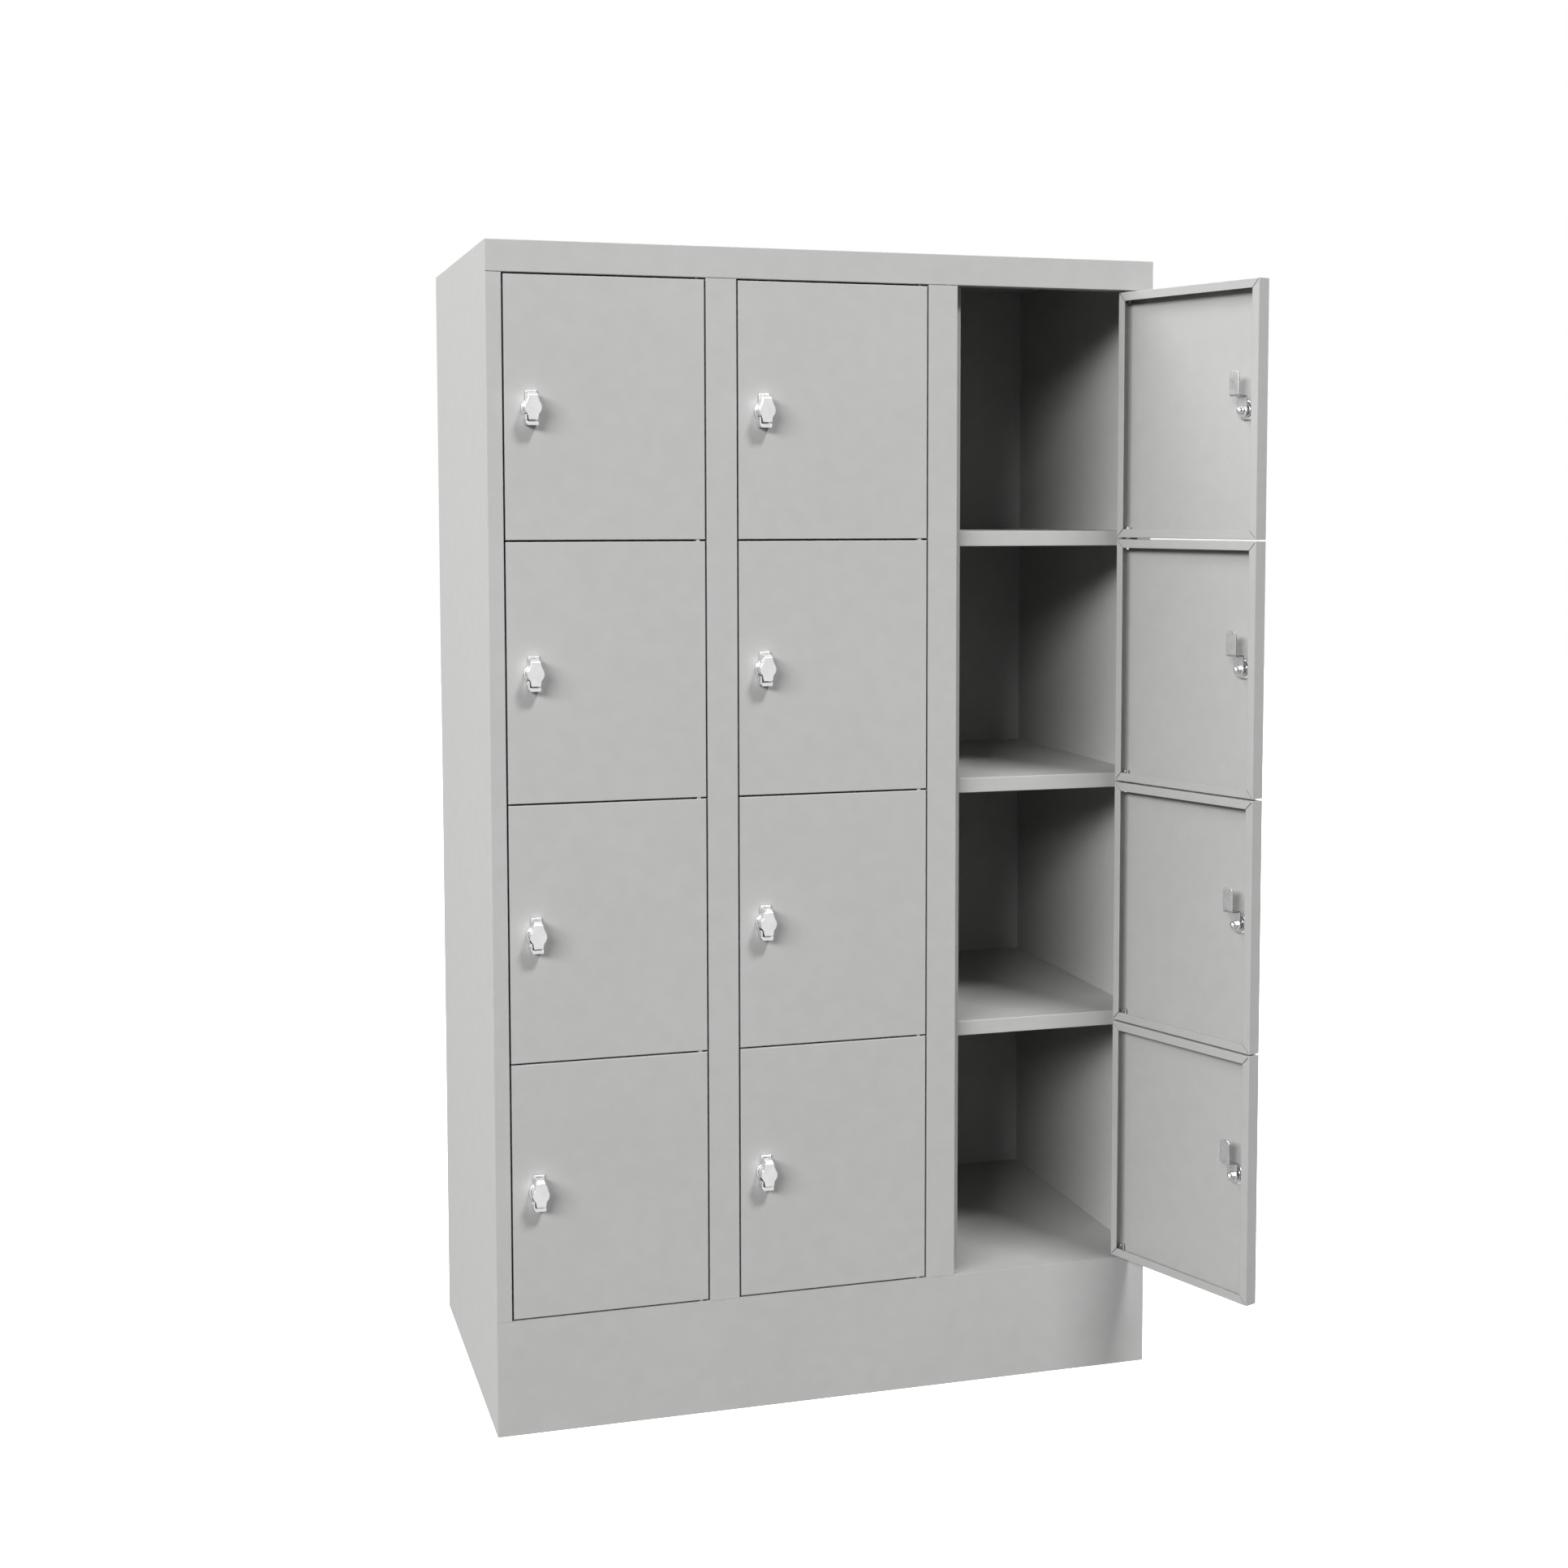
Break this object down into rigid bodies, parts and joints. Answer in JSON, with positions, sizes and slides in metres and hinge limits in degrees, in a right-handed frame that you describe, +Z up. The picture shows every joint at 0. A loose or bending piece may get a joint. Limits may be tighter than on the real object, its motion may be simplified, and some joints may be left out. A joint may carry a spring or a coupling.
{
  "type": "parcel locker",
  "caption": "Free-standing sheet-steel parcel locker with columns of small flush doors on pivot pins, padlockable turn latches, shelves and a plinth.",
  "frame": {"origin": "centre of the footprint on the floor, which is also the centre of the four floor-bolt holes", "axes": "+X to the right seen from the front, +Y to the back, +Z up; the doors are on the -Y side"},
  "size_m": [0.9691, 0.7304, 1.52],
  "materials": {
    "cabinet_paint": "light grey powder coat, fine texture, low gloss",
    "door_paint": "light grey powder coat, fine texture, low gloss",
    "bright_steel": "bright zinc-plated turned pins",
    "dark_steel": "blackened turned pins",
    "latch_chrome": "satin-bright chrome-plated die casting",
    "zinc_steel": "zinc-plated pressed steel cam and nut"
  },
  "bodies": {
    "cabinet": {"left_side_panel": "cabinet_paint", "right_side_panel": "cabinet_paint", "top_panel": "cabinet_paint", "back_panel": "cabinet_paint", "plinth_front": "cabinet_paint", "floor_panel": "cabinet_paint", "mullions": "cabinet_paint", "partitions": "cabinet_paint", "shelves": "cabinet_paint", "pivot_brackets": "cabinet_paint", "pivot_pins": "bright_steel", "top_pivot_pins": "dark_steel"},
    "door_c1r1": {"door_c1r1": "door_paint", "latch_base_c1r1": "latch_chrome"},
    "latch_c1r1": {"latch_handle_c1r1": "latch_chrome", "latch_cam_c1r1": "zinc_steel"},
    "door_c1r2": {"door_c1r2": "door_paint", "latch_base_c1r2": "latch_chrome"},
    "latch_c1r2": {"latch_handle_c1r2": "latch_chrome", "latch_cam_c1r2": "zinc_steel"},
    "door_c1r3": {"door_c1r3": "door_paint", "latch_base_c1r3": "latch_chrome"},
    "latch_c1r3": {"latch_handle_c1r3": "latch_chrome", "latch_cam_c1r3": "zinc_steel"},
    "door_c1r4": {"door_c1r4": "door_paint", "latch_base_c1r4": "latch_chrome"},
    "latch_c1r4": {"latch_handle_c1r4": "latch_chrome", "latch_cam_c1r4": "zinc_steel"},
    "door_c2r1": {"door_c2r1": "door_paint", "latch_base_c2r1": "latch_chrome"},
    "latch_c2r1": {"latch_handle_c2r1": "latch_chrome", "latch_cam_c2r1": "zinc_steel"},
    "door_c2r2": {"door_c2r2": "door_paint", "latch_base_c2r2": "latch_chrome"},
    "latch_c2r2": {"latch_handle_c2r2": "latch_chrome", "latch_cam_c2r2": "zinc_steel"},
    "door_c2r3": {"door_c2r3": "door_paint", "latch_base_c2r3": "latch_chrome"},
    "latch_c2r3": {"latch_handle_c2r3": "latch_chrome", "latch_cam_c2r3": "zinc_steel"},
    "door_c2r4": {"door_c2r4": "door_paint", "latch_base_c2r4": "latch_chrome"},
    "latch_c2r4": {"latch_handle_c2r4": "latch_chrome", "latch_cam_c2r4": "zinc_steel"},
    "door_c3r1": {"door_c3r1": "door_paint", "latch_base_c3r1": "latch_chrome"},
    "latch_c3r1": {"latch_handle_c3r1": "latch_chrome", "latch_cam_c3r1": "zinc_steel"},
    "door_c3r2": {"door_c3r2": "door_paint", "latch_base_c3r2": "latch_chrome"},
    "latch_c3r2": {"latch_handle_c3r2": "latch_chrome", "latch_cam_c3r2": "zinc_steel"},
    "door_c3r3": {"door_c3r3": "door_paint", "latch_base_c3r3": "latch_chrome"},
    "latch_c3r3": {"latch_handle_c3r3": "latch_chrome", "latch_cam_c3r3": "zinc_steel"},
    "door_c3r4": {"door_c3r4": "door_paint", "latch_base_c3r4": "latch_chrome"},
    "latch_c3r4": {"latch_handle_c3r4": "latch_chrome", "latch_cam_c3r4": "zinc_steel"}
  },
  "joints": [
    {"name": "door_c1r1_hinge", "type": "hinge", "parent": "cabinet", "child": "door_c1r1", "pos_m": [-0.181, -0.2438, 1.31289], "axis": [0, 0, 1], "range_deg": [0, 112]},
    {"name": "latch_c1r1_turn", "type": "hinge", "parent": "door_c1r1", "child": "latch_c1r1", "pos_m": [-0.3946, -0.25, 1.31289], "axis": [0, 1, 0], "range_deg": [-90, 0]},
    {"name": "door_c1r2_hinge", "type": "hinge", "parent": "cabinet", "child": "door_c1r2", "pos_m": [-0.181, -0.2438, 0.98096], "axis": [0, 0, 1], "range_deg": [0, 112]},
    {"name": "latch_c1r2_turn", "type": "hinge", "parent": "door_c1r2", "child": "latch_c1r2", "pos_m": [-0.3946, -0.25, 0.98096], "axis": [0, 1, 0], "range_deg": [-90, 0]},
    {"name": "door_c1r3_hinge", "type": "hinge", "parent": "cabinet", "child": "door_c1r3", "pos_m": [-0.181, -0.2438, 0.64904], "axis": [0, 0, 1], "range_deg": [0, 112]},
    {"name": "latch_c1r3_turn", "type": "hinge", "parent": "door_c1r3", "child": "latch_c1r3", "pos_m": [-0.3946, -0.25, 0.64904], "axis": [0, 1, 0], "range_deg": [-90, 0]},
    {"name": "door_c1r4_hinge", "type": "hinge", "parent": "cabinet", "child": "door_c1r4", "pos_m": [-0.181, -0.2438, 0.31711], "axis": [0, 0, 1], "range_deg": [0, 112]},
    {"name": "latch_c1r4_turn", "type": "hinge", "parent": "door_c1r4", "child": "latch_c1r4", "pos_m": [-0.3946, -0.25, 0.31711], "axis": [0, 1, 0], "range_deg": [-90, 0]},
    {"name": "door_c2r1_hinge", "type": "hinge", "parent": "cabinet", "child": "door_c2r1", "pos_m": [0.119, -0.2438, 1.31289], "axis": [0, 0, 1], "range_deg": [0, 112]},
    {"name": "latch_c2r1_turn", "type": "hinge", "parent": "door_c2r1", "child": "latch_c2r1", "pos_m": [-0.0946, -0.25, 1.31289], "axis": [0, 1, 0], "range_deg": [-90, 0]},
    {"name": "door_c2r2_hinge", "type": "hinge", "parent": "cabinet", "child": "door_c2r2", "pos_m": [0.119, -0.2438, 0.98096], "axis": [0, 0, 1], "range_deg": [0, 112]},
    {"name": "latch_c2r2_turn", "type": "hinge", "parent": "door_c2r2", "child": "latch_c2r2", "pos_m": [-0.0946, -0.25, 0.98096], "axis": [0, 1, 0], "range_deg": [-90, 0]},
    {"name": "door_c2r3_hinge", "type": "hinge", "parent": "cabinet", "child": "door_c2r3", "pos_m": [0.119, -0.2438, 0.64904], "axis": [0, 0, 1], "range_deg": [0, 112]},
    {"name": "latch_c2r3_turn", "type": "hinge", "parent": "door_c2r3", "child": "latch_c2r3", "pos_m": [-0.0946, -0.25, 0.64904], "axis": [0, 1, 0], "range_deg": [-90, 0]},
    {"name": "door_c2r4_hinge", "type": "hinge", "parent": "cabinet", "child": "door_c2r4", "pos_m": [0.119, -0.2438, 0.31711], "axis": [0, 0, 1], "range_deg": [0, 112]},
    {"name": "latch_c2r4_turn", "type": "hinge", "parent": "door_c2r4", "child": "latch_c2r4", "pos_m": [-0.0946, -0.25, 0.31711], "axis": [0, 1, 0], "range_deg": [-90, 0]},
    {"name": "door_c3r1_hinge", "type": "hinge", "parent": "cabinet", "child": "door_c3r1", "pos_m": [0.419, -0.2438, 1.31289], "axis": [0, 0, 1], "range_deg": [-109.4, 2.6]},
    {"name": "latch_c3r1_turn", "type": "hinge", "parent": "door_c3r1", "child": "latch_c3r1", "pos_m": [0.4958, -0.44321, 1.31289], "axis": [-0.9432, -0.3322, 0], "range_deg": [-90, 0]},
    {"name": "door_c3r2_hinge", "type": "hinge", "parent": "cabinet", "child": "door_c3r2", "pos_m": [0.419, -0.2438, 0.98096], "axis": [0, 0, 1], "range_deg": [-109.4, 2.6]},
    {"name": "latch_c3r2_turn", "type": "hinge", "parent": "door_c3r2", "child": "latch_c3r2", "pos_m": [0.4958, -0.44321, 0.98096], "axis": [-0.9432, -0.3322, 0], "range_deg": [-90, 0]},
    {"name": "door_c3r3_hinge", "type": "hinge", "parent": "cabinet", "child": "door_c3r3", "pos_m": [0.419, -0.2438, 0.64904], "axis": [0, 0, 1], "range_deg": [-109.4, 2.6]},
    {"name": "latch_c3r3_turn", "type": "hinge", "parent": "door_c3r3", "child": "latch_c3r3", "pos_m": [0.4958, -0.44321, 0.64904], "axis": [-0.9432, -0.3322, 0], "range_deg": [-90, 0]},
    {"name": "door_c3r4_hinge", "type": "hinge", "parent": "cabinet", "child": "door_c3r4", "pos_m": [0.419, -0.2438, 0.31711], "axis": [0, 0, 1], "range_deg": [-109.4, 2.6]},
    {"name": "latch_c3r4_turn", "type": "hinge", "parent": "door_c3r4", "child": "latch_c3r4", "pos_m": [0.4958, -0.44321, 0.31711], "axis": [-0.9432, -0.3322, 0], "range_deg": [-90, 0]}
  ]
}
